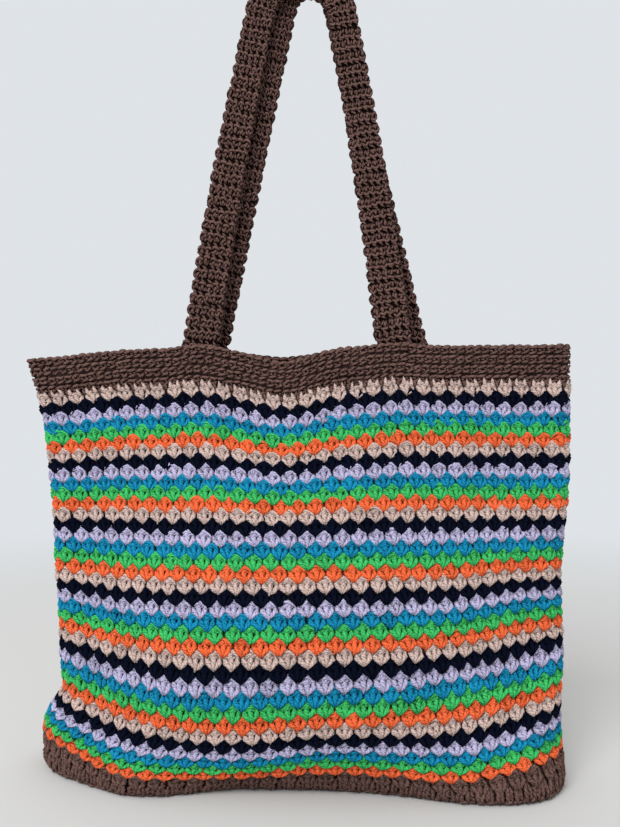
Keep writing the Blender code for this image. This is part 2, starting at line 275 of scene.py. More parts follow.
def strand(points, radii, sides, rings, flat=0.85, shade=0.0):
    """One closed length of yarn, in millimetres along, up and out.

    A ring of points is carried along a smooth curve through the given ones: middle + radius times (cosine
    across it + flat times sine out of it). The last ring at each end shrinks and is closed with one face.
    The painted shade of a point is shade + half of (1 - that sine): least on the yarn's crest, more at its
    ends.
    """
    points, radii = np.asarray(points, float), np.asarray(radii, float)
    steps = np.linalg.norm(np.diff(points, axis=0), axis=1)
    places = np.concatenate(([0.0], np.cumsum(steps)))
    t = np.linspace(0, places[-1], rings)
    middle = np.stack([eased(t, places, column) for column in points.T], axis=1)
    radius = eased(t, places, radii)
    radius[[0, -1]] *= END_TAPER
    heading = unit(np.gradient(middle, axis=0))
    across = unit(np.cross(heading, (0.0, 0.0, 1.0)))
    outward = np.cross(across, heading)
    angle = np.arange(sides) / sides * 2 * math.pi + math.pi / 2
    ring = (
        across[:, None] * np.cos(angle)[None, :, None]
        + flat * outward[:, None] * np.sin(angle)[None, :, None]
    )
    surface = (middle[:, None] + radius[:, None, None] * ring).reshape(-1, 3)
    index = np.arange(rings * sides).reshape(rings, sides)
    quads = between(index[:-1], index[1:])
    around = np.broadcast_to(np.arange(sides) / sides, (rings - 1, sides))
    low = np.broadcast_to(t[:-1, None], around.shape)
    high = np.broadcast_to(t[1:, None], around.shape)
    corners_u = np.stack((around, around + 1 / sides, around + 1 / sides, around), axis=-1)
    corners_v = np.stack((low, low, high, high), axis=-1)
    quad_uv = np.stack((corners_u, corners_v), axis=-1).reshape(-1, 4, 2)
    caps = np.stack((index[0, ::-1], index[-1]))
    cap_u = np.stack((np.arange(sides)[::-1] / sides, np.arange(sides) / sides))
    cap_uv = np.stack((cap_u, np.broadcast_to(t[[0, -1], None], cap_u.shape)), axis=-1)
    deep = np.tile(shade + (1 - np.sin(angle)) / 2, (rings, 1))
    deep[[0, -1]] += END_SHADE
    return Strand(surface, [quads, caps], [quad_uv, cap_uv], np.clip(deep, 0, 1).ravel())


def motif(strands):
    """Several strands as one flat shape, its faces pointing out."""
    faces, uv, start = {}, {}, 0
    for piece in strands:
        for corners, places in zip(piece.faces, piece.uv):
            faces.setdefault(corners.shape[1], []).append(corners + start)
            uv.setdefault(corners.shape[1], []).append(places)
        start += len(piece.points)
    points = np.concatenate([piece.points for piece in strands])
    deep = np.concatenate([piece.deep for piece in strands])
    kinds = sorted(faces)
    corners = turned(points, [np.concatenate(faces[kind]) for kind in kinds])
    return Strand(points, corners, [np.concatenate(uv[kind]) for kind in kinds], deep)


Cloth = namedtuple("Cloth", "points faces uv deep tone")

# Range of the starts of the twist, in mm along the yarn
TWIST_STARTS = 9


def picked(shapes, count, rng):
    """Points of one of the flat shapes, chosen at random, for each of the copies."""
    pick = rng.integers(0, len(shapes), count)
    return np.stack([shape.points for shape in shapes])[pick]


def jolt(rng, spread, count):
    """A random shift for each copy, of about this many millimetres."""
    return rng.normal(0, spread * MM, count)[:, None]


def worked(shape, laid_points, rng, mean=0, spread=1):
    """The laid copies of a flat shape, each with a random tone and a random start of its twist."""
    count = len(laid_points)
    return copies(shape, laid_points, rng.normal(mean, spread, count), rng.uniform(0, TWIST_STARTS, count))


def copies(shape, laid_points, tone, slide):
    """The flat shape's faces repeated for each laid copy, with each copy's tone and start of the twist."""
    count, size = laid_points.shape[:2]
    start = (np.arange(count) * size)[:, None, None]
    faces = [(corners[None] + start).reshape(-1, corners.shape[1]) for corners in shape.faces]
    shift = np.stack((np.zeros(count), slide), axis=-1)[:, None, None, :]
    uv = [(places[None] + shift).reshape(-1, *places.shape[1:]) for places in shape.uv]
    deep = np.broadcast_to(shape.deep, (count, size)).ravel()
    return Cloth(laid_points.reshape(-1, 3), faces, uv, deep, np.repeat(tone, size))


def turned(points, faces):
    """The faces, each turned round if the closed shape they make has a volume below zero."""
    volume = 0.0
    for corners in faces:
        for k in range(1, corners.shape[1] - 1):
            a, b, c = (points[corners[:, j]] for j in (0, k, k + 1))
            volume += np.einsum("ij,ij->", a, np.cross(b, c))
    return [corners[:, ::-1] for corners in faces] if volume < 0 else faces


def mesh_object(name, cloths, material):
    """One object from several pieces of cloth, with its yarn map, the painted shade of its hollows, and its
    tone.
    """
    points = np.concatenate([cloth.points for cloth in cloths])
    corners, uv, sizes, start = [], [], [], 0
    for cloth in cloths:
        for faces, places in zip(cloth.faces, cloth.uv):
            corners.append((faces + start).ravel())
            uv.append(places.reshape(-1, 2))
            sizes.append(np.full(len(faces), faces.shape[1]))
        start += len(cloth.points)
    corners, uv, sizes = np.concatenate(corners), np.concatenate(uv), np.concatenate(sizes)
    mesh = bpy.data.meshes.new(name)
    mesh.vertices.add(len(points))
    mesh.vertices.foreach_set("co", points.astype(np.float32).ravel())
    mesh.loops.add(len(corners))
    mesh.loops.foreach_set("vertex_index", corners.astype(np.int32))
    mesh.polygons.add(len(sizes))
    mesh.polygons.foreach_set("loop_start", (np.cumsum(sizes) - sizes).astype(np.int32))
    mesh.update(calc_edges=True)
    mesh.uv_layers.new(name="yarn").uv.foreach_set("vector", uv.astype(np.float32).ravel())
    # painted shade of the hollows, and each stitch's own random tone
    for label in ("deep", "tone"):
        layer = mesh.attributes.new(label, "FLOAT", "POINT")
        column = np.concatenate([getattr(cloth, label) for cloth in cloths])
        layer.data.foreach_set("value", column.astype(np.float32))
    mesh.shade_smooth()
    mesh.materials.append(material)
    piece = bpy.data.objects.new(name, mesh)
    bpy.context.scene.collection.objects.link(piece)
    return piece


def stand_for(piece, node):
    """The piece rides on the bag's one body and stands for this node, whose solid is hidden."""
    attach(piece, "root")
    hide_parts(node)


def lofted(rings, deep):
    """Closed band through a run of closed loops of points, the last joined to the first."""
    rings = np.asarray(rings)
    count, size = rings.shape[:2]
    index = np.arange(count * size).reshape(count, size)
    faces = between(index, np.roll(index, -1, axis=0))
    return plain_cloth(rings.reshape(-1, 3), [faces], np.repeat(deep, size))


def plain_cloth(points, faces, deep):
    """Cloth with no yarn map of its own, its faces pointing out."""
    faces = turned(points, faces)
    uv = [np.zeros((*corners.shape, 2)) for corners in faces]
    return Cloth(points, faces, uv, deep, np.zeros(len(points)))


# Clusters

# Width of a cluster and distance between its rows as it is made flat, in mm; how far its points stray; and
# how much a copy tilts, in radians, and grows
CLUSTER_SIZE = (12.4, 7.8)
CLUSTER_STRAY, WRAP_STRAY, PEAK_STRAY = 0.28, 0.45, 0.45
CLUSTER_TILT, CLUSTER_GROWTH = 0.06, 0.03

# How far the line between two rounds zigzags, in shares of a round; how far the backing's outside is from
# the middle of the wall, in mm, and how much painted shade darkens its two faces; and how much a cluster's
# top stands out before its foot, in the low and the high rounds
SEAM_DEPTH = 0.45
BACKING_FACE = 0.5
BACKING_SHADE, INSIDE_SHADE = 0.85, 0.35
LOW_LEAN, HIGH_LEAN = -0.10, 0.06
LEAN_HEIGHTS = (0.100, 0.250)


def strayed(points, stray, rng):
    """The points in mm, each moved at random by about this much, and less of it out of the face."""
    return np.asarray(points, float) + rng.normal(0, stray, (len(points), 3)) * (1, 1, 0.6)


def cluster(rng, size, spiked=False):
    """A cluster of three trebles seen from outside, as CLUSTER_SIZE says.

    Three thick posts fan up from one point and lie side by side over a pad, a loop arches over them from
    corner to corner, and a strand crosses under it. In the last round a bar and two short peaks stand in
    place of the arch.
    """

    def moved(points, stray=CLUSTER_STRAY):
        return strayed(points, stray, rng)

    thick = size.post_radius / MM
    loop = size.loop_radius / MM
    posts = (
        moved(((-0.1, -6.0, 1.7), (-1.8, -3.1, 2.0), (-4.3, -0.2, 1.7), (-4.9, 1.8, 1.0))),
        moved(((0.3, -6.4, 2.0), (0.5, -2.9, 2.3), (0.3, 0.7, 2.0), (0.2, 3.2, 1.4))),
        moved(((0.5, -6.0, 1.7), (2.5, -3.4, 2.0), (4.8, -0.9, 1.7), (4.3, 1.8, 1.0))),
    )
    made = [strand(post, np.array((0.5, 0.85, 1.05, 0.9)) * thick, 5, 4) for post in posts]
    pad = moved(((-3.9, 1.2, 1.3), (0.0, 2.1, 2.1), (3.9, 1.2, 1.3)))
    # the pad lies under the posts and gets extra painted shade
    made.append(strand(pad, np.array((0.9, 1.2, 0.9)) * thick, 4, 3, flat=0.75, shade=0.22))
    wrap = moved(((-4.2, 2.0, 1.5), (-0.8, 3.5, 2.4), (3.3, 2.8, 1.5)), WRAP_STRAY)
    made.append(strand(wrap, np.array((0.85, 1.0, 0.8)) * loop, 4, 3))
    if spiked:
        bar = moved(((-5.7, 0.8, 0.8), (-2.0, 2.2, 1.4), (2.0, 2.2, 1.4), (5.7, 0.8, 0.8)))
        made.append(strand(bar, np.array((0.9, 1.1, 1.1, 0.9)) * loop, 5, 5))
        for side in (-1, 1):
            foot = side * 3.1
            peak = moved(((foot + 0.6, 1.0, 1.3), (foot, 4.2, 2.2), (foot - 0.7, 7.7, 2.2)), PEAK_STRAY)
            made.append(strand(peak, np.array((1.4, 1.1, 0.3)) * loop, 5, 4))
    else:
        arch = moved((
            (-5.7, 0.7, 0.9), (-4.6, 3.4, 1.2), (-1.3, 5.2, 1.3),
            (1.6, 4.8, 1.3), (4.4, 2.5, 1.2), (5.8, -0.4, 0.9),
        ))
        made.append(strand(arch, np.array((0.9, 1.0, 1.05, 1.05, 1.0, 0.9)) * loop, 5, 6))
    return motif(made)


def round_bounds():
    """Height of each boundary between rounds, from the base's rim to the band."""
    ends = BASE_RIM + np.concatenate(([0.0], np.cumsum(REPEAT_HEIGHTS)))
    places = np.arange(len(ends)) * len(REPEAT_COLOURS)
    return eased(np.arange(ROUNDS + 1), places, ends)


def closed_heights(bottom, top):
    """Height of the wall between two levels at each point of a strip, measured up the slope."""
    pitch = np.linalg.norm(wall_loop(top) - wall_loop(bottom), axis=1)
    return np.concatenate((pitch, pitch[:1]))


def seam(number, bounds, clusters, out):
    """Zigzag line where two rounds meet, four points to a cluster, with a dip under each upper cluster."""
    strip = wall_strip(bounds[number])
    below, above = bounds[max(number - 1, 0)], bounds[min(number + 1, ROUNDS)]
    end = number in (0, ROUNDS)
    pitch = closed_heights(below, above) / (1 if end else 2)
    share = np.arange(4 * clusters) / (4 * clusters)
    wave = -np.cos(2 * math.pi * (share * clusters - 0.5 * (number % 2)))
    depth = 0.0 if end else SEAM_DEPTH
    places = share * strip.arc[-1]
    up = depth * wave * np.interp(places, strip.arc, pitch)
    return laid(strip, places, up, np.full(len(places), out))


def make_round(number, bounds, shapes, sizes, rng):
    """Clusters of one round, laid side by side round the wall, over a thin backing of the same yarn."""
    bottom, top = bounds[number], bounds[number + 1]
    strip = wall_strip((bottom + top) / 2)
    count = sizes.clusters
    width = strip.arc[-1] / count
    middle = (np.arange(count) + 0.5 * (number % 2)) * width
    row = np.interp(middle, strip.arc, closed_heights(bottom, top))
    flat = picked(shapes, count, rng)
    tilt = rng.normal(0, CLUSTER_TILT, count)[:, None]
    grow = 1 + rng.normal(0, CLUSTER_GROWTH, (count, 2))
    u = flat[..., 0] * np.cos(tilt) - flat[..., 1] * np.sin(tilt)
    v = flat[..., 0] * np.sin(tilt) + flat[..., 1] * np.cos(tilt)
    made_width, made_height = CLUSTER_SIZE
    along = middle[:, None] + u * (width / made_width) * grow[:, :1] + jolt(rng, 0.3, count)
    up = v * (row / made_height)[:, None] * grow[:, 1:] + jolt(rng, 0.25, count)
    lean = LOW_LEAN + (HIGH_LEAN - LOW_LEAN) * ramp(bottom, *LEAN_HEIGHTS)
    out = (flat[..., 2] + lean * flat[..., 1]) * MM + jolt(rng, 0.15, count)
    clusters = worked(shapes[0], laid(strip, along, up, out), rng)
    corners = ((1, BACKING_FACE), (0, BACKING_FACE), (0, INNER_FACE), (1, INNER_FACE))
    rings = [seam(number + line, bounds, count, face * MM) for line, face in corners]
    # painted shade on the backing: darker on its outside, between the clusters, than on its inside
    backing = lofted(rings, np.array((BACKING_SHADE, BACKING_SHADE, INSIDE_SHADE, INSIDE_SHADE)))
    colour = REPEAT_COLOURS[number % len(REPEAT_COLOURS)]
    piece = mesh_object(f"clusters_{number + 1:02d}_{colour}", [clusters, backing], yarn_material(colour))
    stand_for(piece, f"round_{number + 1:02d}_{colour}")


# Plain stitches

# Width and height of a pair of rows as it is made flat, in mm, and how far its points stray, and those of
# the rim's rope, of the points that hang from the band, and of the base's posts
PAIR_SIZE = (6.0, 6.9)
PAIR_STRAY, EDGE_STRAY, HANGING_STRAY, POST_STRAY = 0.42, 0.20, 0.25, 0.36

# Heights in the base: its clusters below the rim, and its posts and rope above its edge
TOPS_BELOW_RIM = 0.0047
POSTS_ABOVE_EDGE, ROPE_ABOVE_EDGE = 0.0066, 0.0025

# Painted shade: the base's stitches are made a little darker; mean and spread of their tone
BASE_SHADE_TONE = (-1.6, 1.3)

# Underside: number of rings, share of the outline at the first, how far they reach in, and the spine's ends
UNDER_RINGS = 5
UNDER_START, UNDER_REACH = 0.93, 0.90
SPINE_ENDS = (-0.150, 0.148)

# Core of the base: heights of its loops and how far out each lies, in mm; and the core of the band
BASE_CORE = ((BASE_RIM, 0.8), (0.010, 0.8), (0.0045, 0.2), (0.0014, -2.5))
BAND_CORE_FACE, BAND_CORE_DROP = 1.1, 0.0008


def plain_pair(rng, plain=False):
    """Two rows of plain stitches worked there and back, as PAIR_SIZE says.

    In each row a dash rises to the right as part of a rope, and between the two ropes two short ones fall to
    the right, with small holes beside them. Where few will look, the plain kind has the ropes alone.
    """

    def moved(points):
        return strayed(points, PAIR_STRAY, rng)

    dash = moved(((-3.7, 1.1, 0.8), (-1.4, 1.4, 1.8), (1.2, 2.0, 2.0), (3.7, 2.6, 0.8)))
    lower = moved(((-3.2, -2.5, 0.8), (-0.9, -2.1, 1.8), (1.4, -1.5, 1.9), (3.3, -1.0, 0.9)))
    falling = moved(((-2.7, 0.2, 1.1), (-1.5, -0.6, 1.9), (-0.4, -1.7, 1.1)))
    second = moved(((0.6, 0.9, 1.2), (1.6, 0.2, 1.7), (2.5, -0.9, 1.1)))
    ropes = [strand(dash, (0.7, 1.1, 1.1, 0.7), 5, 4), strand(lower, (0.7, 1.05, 1.05, 0.7), 4, 4)]
    if plain:
        return motif(ropes)
    return motif([
        *ropes, strand(falling, (0.65, 0.9, 0.65), 4, 3), strand(second, (0.6, 0.85, 0.6), 4, 3)
    ])


def stitch_rows(shapes, strips, pitches, stitch, rng, inside=False):
    """Double rows of plain stitches on strips of cloth, each started at a random place."""
    made = []
    for strip, pitch in zip(strips, pitches):
        count = round(strip.arc[-1] / stitch)
        width = strip.arc[-1] / count
        middle = (np.arange(count) + rng.uniform(0, 1)) * width
        flat = picked(shapes, count, rng)
        way = -1 if inside else 1
        along = middle[:, None] + way * flat[..., 0] * width / PAIR_SIZE[0]
        up = flat[..., 1] * pitch / PAIR_SIZE[1] + jolt(rng, 0.2, count)
        out = way * (flat[..., 2] * MM + jolt(rng, 0.15, count))
        made.append(worked(shapes[0], laid(strip, along, up, out), rng))
    return made


def hanging_point(rng):
    """A short strand of the band that narrows down between two peaks of the last round."""
    line = np.array(((-0.3, 1.8, 1.2), (0.0, -0.3, 2.0), (0.5, -2.9, 1.8)))
    points = line + rng.normal(0, HANGING_STRAY, (3, 3))
    return motif([strand(points, (1.2, 1.25, 0.4), 5, 4)])


def edge_dash(rng):
    """A dash of the rope that closes the rim, 6 mm long, lying over the edge."""
    points = np.array(((-3.3, -1.7, 0.3), (-1.0, -0.9, 1.0), (1.2, -0.9, 0.9), (3.3, -1.8, 0.0)))
    points += rng.normal(0, EDGE_STRAY, (4, 3))
    return motif([strand(points, (0.9, 1.25, 1.25, 0.9), 6, 5, flat=1.0)])


def make_band(sizes, rng):
    """Double rows of plain stitches in and outside the mouth, over a core, with a rope along the rim."""
    pairs = sizes.band_pairs
    pitch = (RIM - BAND_BOTTOM) / pairs
    heights = BAND_BOTTOM + (np.arange(pairs) + 0.5) * pitch
    shapes = [plain_pair(rng) for _ in range(SOME)]
    strips = [wall_strip(height) for height in heights]
    pitches = [pitch] * pairs
    made = stitch_rows(shapes, strips, pitches, sizes.stitch_width, rng)
    plain = [plain_pair(rng, plain=True) for _ in range(SOME)]
    made += stitch_rows(plain, strips, pitches, sizes.stitch_width, rng, inside=True)
    edge = [wall_strip(RIM)]
    ropes = [edge_dash(rng) for _ in range(FEW)]
    made += stitch_rows(ropes, edge, [PAIR_SIZE[1] * MM], sizes.stitch_width, rng)
    # two points to each of the last round's clusters: one at its middle and one where it meets the next
    strip = wall_strip(BAND_BOTTOM)
    count = 2 * sizes.clusters
    places = np.arange(count) / count * strip.arc[-1]
    points = [hanging_point(rng) for _ in range(FEW)]
    flat = picked(points, count, rng)
    spots = laid(strip, places[:, None] + flat[..., 0] * MM, flat[..., 1] * MM, flat[..., 2] * MM)
    made.append(worked(points[0], spots, rng))
    core_top = RIM - BAND_CORE_DROP
    corners = ((BAND_BOTTOM, 1), (core_top, 1), (core_top, -1), (BAND_BOTTOM, -1))
    rings = [level_loop(height, side * BAND_CORE_FACE) for height, side in corners]
    # the band's core behind the stitches gets painted shade
    made.append(lofted(rings, np.full(4, CORE_SHADE)))
    piece = mesh_object("band_stitches", made, yarn_material("brown"))
    stand_for(piece, "top_band")


def upright(rng):
    """A treble's thick post, 6.2 mm wide and 14 mm tall: two strands upright and one across them."""
    left, right, across = (np.array(line) + rng.normal(0, POST_STRAY, (len(line), 3)) for line in (
        ((-1.6, -6.4, 0.9), (-1.7, -2.6, 2.0), (-1.0, 2.0, 1.9), (0.4, 6.0, 1.0)),
        ((1.6, -6.2, 0.9), (1.7, -2.4, 1.9), (1.9, 1.8, 1.6), (1.2, 5.6, 0.8)),
        ((-2.6, 1.6, 1.2), (0.0, 0.2, 2.9), (2.4, -1.6, 1.2)),
    ))
    return motif([
        strand(left, (1.2, 1.8, 1.7, 1.1), 5, 4),
        strand(right, (1.2, 1.7, 1.6, 1.1), 5, 4),
        strand(across, (0.7, 1.1, 0.7), 4, 3),
    ])


def set_round(shapes, height, count, start, rng):
    """Flat shapes side by side round the base's wall, the first at this share, taller where the wall is."""
    strip = wall_strip(height)
    wall = closed_heights(0.0, BASE_RIM) / BASE_RIM
    width = strip.arc[-1] / count
    flat = picked(shapes, count, rng)
    middle = (np.arange(count) + start) * width
    along = middle[:, None] + flat[..., 0] * MM + jolt(rng, 0.3, count)
    row = np.interp(middle, strip.arc, wall, period=strip.arc[-1])[:, None]
    up = flat[..., 1] * row * MM + jolt(rng, 0.3, count)
    out = flat[..., 2] * MM + jolt(rng, 0.3, count)
    # the base's stitches are darkened as painted shade
    return worked(shapes[0], laid(strip, along, up, out), rng, *BASE_SHADE_TONE)


def make_base(sizes, rng):
    """A row of clusters, posts and a rope on the base's wall, rings of stitches underneath, and a dish."""
    tops = [cluster(rng, sizes) for _ in range(SOME)]
    posts = [upright(rng) for _ in range(MANY)]
    ropes = [edge_dash(rng) for _ in range(FEW)]
    edge = round(wall_strip(BASE_EDGE).arc[-1] / sizes.stitch_width)
    made = [
        set_round(tops, BASE_RIM - TOPS_BELOW_RIM, sizes.clusters, 0.5, rng),
        set_round(posts, BASE_EDGE + POSTS_ABOVE_EDGE, 2 * sizes.clusters, 0.25, rng),
        set_round(ropes, BASE_EDGE + ROPE_ABOVE_EDGE, edge, 0.0, rng),
    ]
    shapes = [plain_pair(rng, plain=True) for _ in range(SOME)]
    outline = wall_loop(0.0)
    half = len(outline) // 2
    spine = (outline + np.roll(outline[::-1], half + 1, axis=0)) / 2
    spine[:, 0] = np.clip(outline[:, 0], *SPINE_ENDS)
    spine[:, 1] = -BASE_TURN * spine[:, 0]
    under = []
    for ring in range(UNDER_RINGS):
        share = UNDER_START - ring * UNDER_REACH / UNDER_RINGS
        step = UNDER_REACH / 2 / UNDER_RINGS
        place, inner, outer = (spine + (outline - spine) * s for s in (share, share - step, share + step))
        place[:, 2] = inner[:, 2] = outer[:, 2] = UNDERSIDE
        under.append(strip_of(place, outer, inner))
    pitches = [PAIR_SIZE[1] * MM] * UNDER_RINGS
    made += stitch_rows(shapes, under, pitches, sizes.stitch_width, rng, inside=True)
    made.append(dish([level_loop(height, out) for height, out in BASE_CORE]))
    piece = mesh_object("base_stitches", made, yarn_material("brown"))
    stand_for(piece, "base")


def dish(outside):
    """The base's core in one closed skin: floor, inner wall, loops down the outside and a flat underside.

    Underside and floor are each closed by faces between the front and back points of their last loop.
    """
    floor_loop = level_loop(BASE_FLOOR, INNER_FACE)
    floor_loop[:, 2] = BASE_FLOOR
    rings = np.asarray([floor_loop, level_loop(BASE_RIM, INNER_FACE), *outside])
    count, size = rings.shape[:2]
    index = np.arange(count * size).reshape(count, size)
    faces = between(index[:-1], index[1:])
    column = np.arange(-size // 4 + 1, size // 4 - 1)
    pairs = np.stack((column, column + 1, size // 2 - column - 1, size // 2 - column), axis=-1) % size
    corner = size // 4 - 1
    tips = np.array(((corner, corner + 1, corner + 2), (-corner, -corner - 1, -corner - 2))) % size
    tips[1] = tips[1][::-1]
    floor, under = index[0], index[-1]
    quads = np.concatenate((faces, floor[pairs][:, ::-1], under[pairs]))
    triangles = np.concatenate((floor[tips][:, ::-1], under[tips]))
    # the base's core behind the stitches gets painted shade
    return plain_cloth(rings.reshape(-1, 3), [quads, triangles], np.full(count * size, CORE_SHADE))


# Straps

# Width and height of a pair of rows as it is made flat, in mm, how far its points stray, its share of its
# column's width, and how far it is from the middle; and how far the turns at the edges stray, and how far
# below the middle of a pair they are
STRAP_PAIR_SIZE = (5.2, 9.0)
STRAP_STRAY = 0.46
COLUMN_SHARE, FACE_LIFT = 0.98, 0.0004
TURN_STRAY, TURN_DROP = 0.42, 0.0004

# Core of a strap: half of its width in shares of the strap's, half of its depth in mm, and its painted
# shade;
# each of them with what it loses, or gains in painted shade, at the notches between pairs
CORE_EDGE, NOTCH_EDGE = 0.475, 0.025
CORE_HALF, NOTCH_HALF = 1.1, 0.6
PAIR_SHADE, NOTCH_SHADE = 0.7, 0.3


def strap_line(strap):
    """Middle line of a strap in x and z: a bowed leg, a round bend that it runs into, the other leg."""
    bend = np.array((strap.bend_x, RIM + strap.bend_rise))
    legs = []
    for foot_x, side in ((strap.left_foot, -1), (strap.right_foot, 1)):
        foot = np.array((foot_x, RIM))
        reach = bend - foot
        distance = np.linalg.norm(reach)
        bearing = math.atan2(reach[1], reach[0]) - side * math.asin(strap.radius / distance)
        heading = np.array((math.cos(bearing), math.sin(bearing)))
        leg = math.sqrt(distance**2 - strap.radius**2)
        legs.append((foot - heading * STRAP_SEAM, foot + heading * leg))
    (left_end, left_touch), (right_end, right_touch) = legs
    start = math.atan2(*(left_touch - bend)[::-1])
    stop = math.atan2(*(right_touch - bend)[::-1])
    turn = np.linspace(start, stop, 97)
    arc = bend + strap.radius * np.column_stack((np.cos(turn), np.sin(turn)))
    line = np.concatenate(([left_end], arc, [right_end]))
    length = np.concatenate(([0.0], np.cumsum(np.linalg.norm(np.diff(line, axis=0), axis=1))))
    even = np.linspace(0, length[-1], 401)
    x, z = (np.interp(even, length, column) for column in line.T)
    bow = strap.bow * np.sin(math.pi * np.clip((z - RIM) / strap.bend_rise, 0, 1))
    return np.column_stack((x + np.sign(x - strap.bend_x) * bow, z)), length[-1]


def strap_depth(strap):
    """Distance from the middle plane to the middle of a strap that lies against the inside of the band."""
    loop = wall_loop(RIM)
    inner = loop[loop[:, 1] < 0]
    inner = inner[np.argsort(inner[:, 0])]
    reach = STRAP_WIDTH / 2 + STRAP_SEAM / 2
    spots = [strap.left_foot - reach, strap.right_foot + reach]
    face = np.interp(spots, inner[:, 0], -inner[:, 1]).min() - WALL / 2
    return face - GAP - STRAP_THICKNESS / 2


def strap_stitch(rng):
    """Two rows of plain stitches worked there and back, as STRAP_PAIR_SIZE says.

    A dash falls across the line of holes. Under it a thick arch stands over a stem, and below that two
    strands run from the arch's feet to the stem's foot.
    """

    def moved(points):
        return strayed(points, STRAP_STRAY, rng)

    dash = moved(((-2.2, 6.4, 1.2), (-0.2, 4.7, 2.5), (1.8, 3.0, 1.5)))
    arch = moved(((-2.6, 0.3, 0.9), (-1.9, 2.1, 1.9), (-0.1, 2.9, 2.2), (1.7, 2.0, 1.9), (2.5, 0.3, 1.0)))
    stem = moved(((0.2, 1.6, 1.2), (-0.2, -0.6, 2.1), (-0.5, -3.0, 1.2)))
    left = moved(((-2.8, -0.3, 1.1), (-1.8, -1.7, 1.9), (-0.7, -3.3, 1.1)))
    right = moved(((2.6, -0.4, 1.1), (1.7, -1.6, 1.8), (0.4, -3.1, 1.1)))
    return motif([
        strand(dash, (0.75, 0.95, 0.8), 4, 3),
        strand(arch, (0.85, 1.1, 1.15, 1.1, 0.85), 5, 5),
        strand(stem, (0.9, 1.2, 0.8), 4, 4),
        strand(left, (0.85, 1.1, 0.75), 4, 3),
        strand(right, (0.85, 1.1, 0.75), 4, 3),
    ])


def strap_side(rng):
    """The turn of two rows at the edge of a strap: a thick strand that bulges out for 8 mm."""
    points = np.array(((-1.4, -4.0, 0.0), (-0.2, -2.0, 0.3), (-0.1, 1.8, -0.1), (-1.3, 4.0, 0.1)))
    points += rng.normal(0, TURN_STRAY, (4, 3))
    return motif([strand(points, (1.0, 1.2, 1.2, 1.0), 6, 6, flat=1.5)])


def make_strap(name, strap, sizes, rng):
    """Stitches on both faces of a strap and turns at its edges, over a flat core with scalloped edges."""
    line, length = strap_line(strap)
    along = unit(np.gradient(line, axis=0))
    across = np.column_stack((along[:, 1], -along[:, 0]))
    climb = np.clip((line[:, 1] - RIM) / strap.bend_rise, 0, 1)
    width = STRAP_WIDTH + (strap.top_width - STRAP_WIDTH) * climb
    depth = strap_depth(strap)
    middle_y = strap.side * (depth + (STRAP_TOP_Y - depth) * climb)
    arc = np.linspace(0, length, len(line))
    pairs = round(length / STRAP_ROW_PAIR)
    columns = sizes.strap_columns
    spot = (np.arange(pairs) + 0.5) * length / pairs
    shapes = [strap_stitch(rng) for _ in range(MANY)]

    def placed(s, u, y):
        """Point of the strap at length s, across by u shares of its width, at depth y from its middle."""
        at_width = np.interp(s, arc, width)
        x = np.interp(s, arc, line[:, 0]) + np.interp(s, arc, across[:, 0]) * u * at_width
        z = np.interp(s, arc, line[:, 1]) + np.interp(s, arc, across[:, 1]) * u * at_width
        return np.stack((x, np.interp(s, arc, middle_y) + y, z), axis=-1)

    made = []
    for face in (-1, 1):
        row, column = np.meshgrid(spot, (np.arange(columns) + 0.5) / columns - 0.5, indexing="ij")
        row, column = row.ravel(), column.ravel()
        count = len(row)
        flat = picked(shapes, count, rng)
        made_width, made_height = STRAP_PAIR_SIZE
        u = column[:, None] - face * flat[..., 0] / made_width / columns * COLUMN_SHARE
        s = row[:, None] + flat[..., 1] * (length / pairs / made_height)
        s += jolt(rng, 0.5, count)
        y = face * (FACE_LIFT + flat[..., 2] * MM + jolt(rng, 0.12, count))
        made.append(worked(shapes[0], placed(s, u, y), rng))
    # the turns at both edges: one to a pair, with a notch between pairs
    sides = [strap_side(rng) for _ in range(SOME)]
    turns = spot - TURN_DROP
    for edge in (-1, 1):
        flat = picked(sides, len(turns), rng)
        reach = np.interp(turns, arc, width)[:, None] / 2
        u = edge * (0.5 + (flat[..., 0] - 0.3) * MM / (2 * reach))
        s = turns[:, None] + edge * flat[..., 1] * MM + jolt(rng, 0.4, len(turns))
        made.append(worked(sides[0], placed(s, u, flat[..., 2] * MM), rng))
    s = np.linspace(0, length, 6 * pairs + 1)
    gap = (1 + np.cos(2 * math.pi * s / length * pairs)) / 2
    corners = [
        placed(s, side * (CORE_EDGE - NOTCH_EDGE * gap), face * (CORE_HALF - NOTCH_HALF * gap) * MM)
        for side, face in ((-1, -1), (1, -1), (1, 1), (-1, 1))
    ]
    # painted shade on the strap's core, darker at the notches between pairs
    made.append(rod(np.stack(corners, axis=1), PAIR_SHADE + NOTCH_SHADE * gap))
    piece = mesh_object(f"{name}_stitches", made, yarn_material("brown"))
    stand_for(piece, name)


def rod(rings, deep):
    """Closed bar through a run of four-cornered rings, capped at both ends, and the painted shade of each
    ring.
    """
    count, size = rings.shape[:2]
    index = np.arange(count * size).reshape(count, size)
    faces = np.concatenate((between(index[:-1], index[1:]), index[:1, ::-1], index[-1:]))
    return plain_cloth(rings.reshape(-1, 3), [faces], np.repeat(deep, size))


# Yarn and stage


def linear(colour):
    """Colour as seen, 0 to 255, as linear light."""
    seen = np.asarray(colour, float) / 255
    return np.where(seen <= 0.04045, seen / 12.92, ((seen + 0.055) / 1.055) ** 2.4)


YARNS = {
    "orange": (255, 103, 61),
    "green": (62, 179, 97),
    "teal": (24, 131, 170),
    "lilac": (176, 171, 202),
    "navy": (8, 13, 30),
    "beige": (194, 171, 163),
    "brown": (110, 84, 78),
}
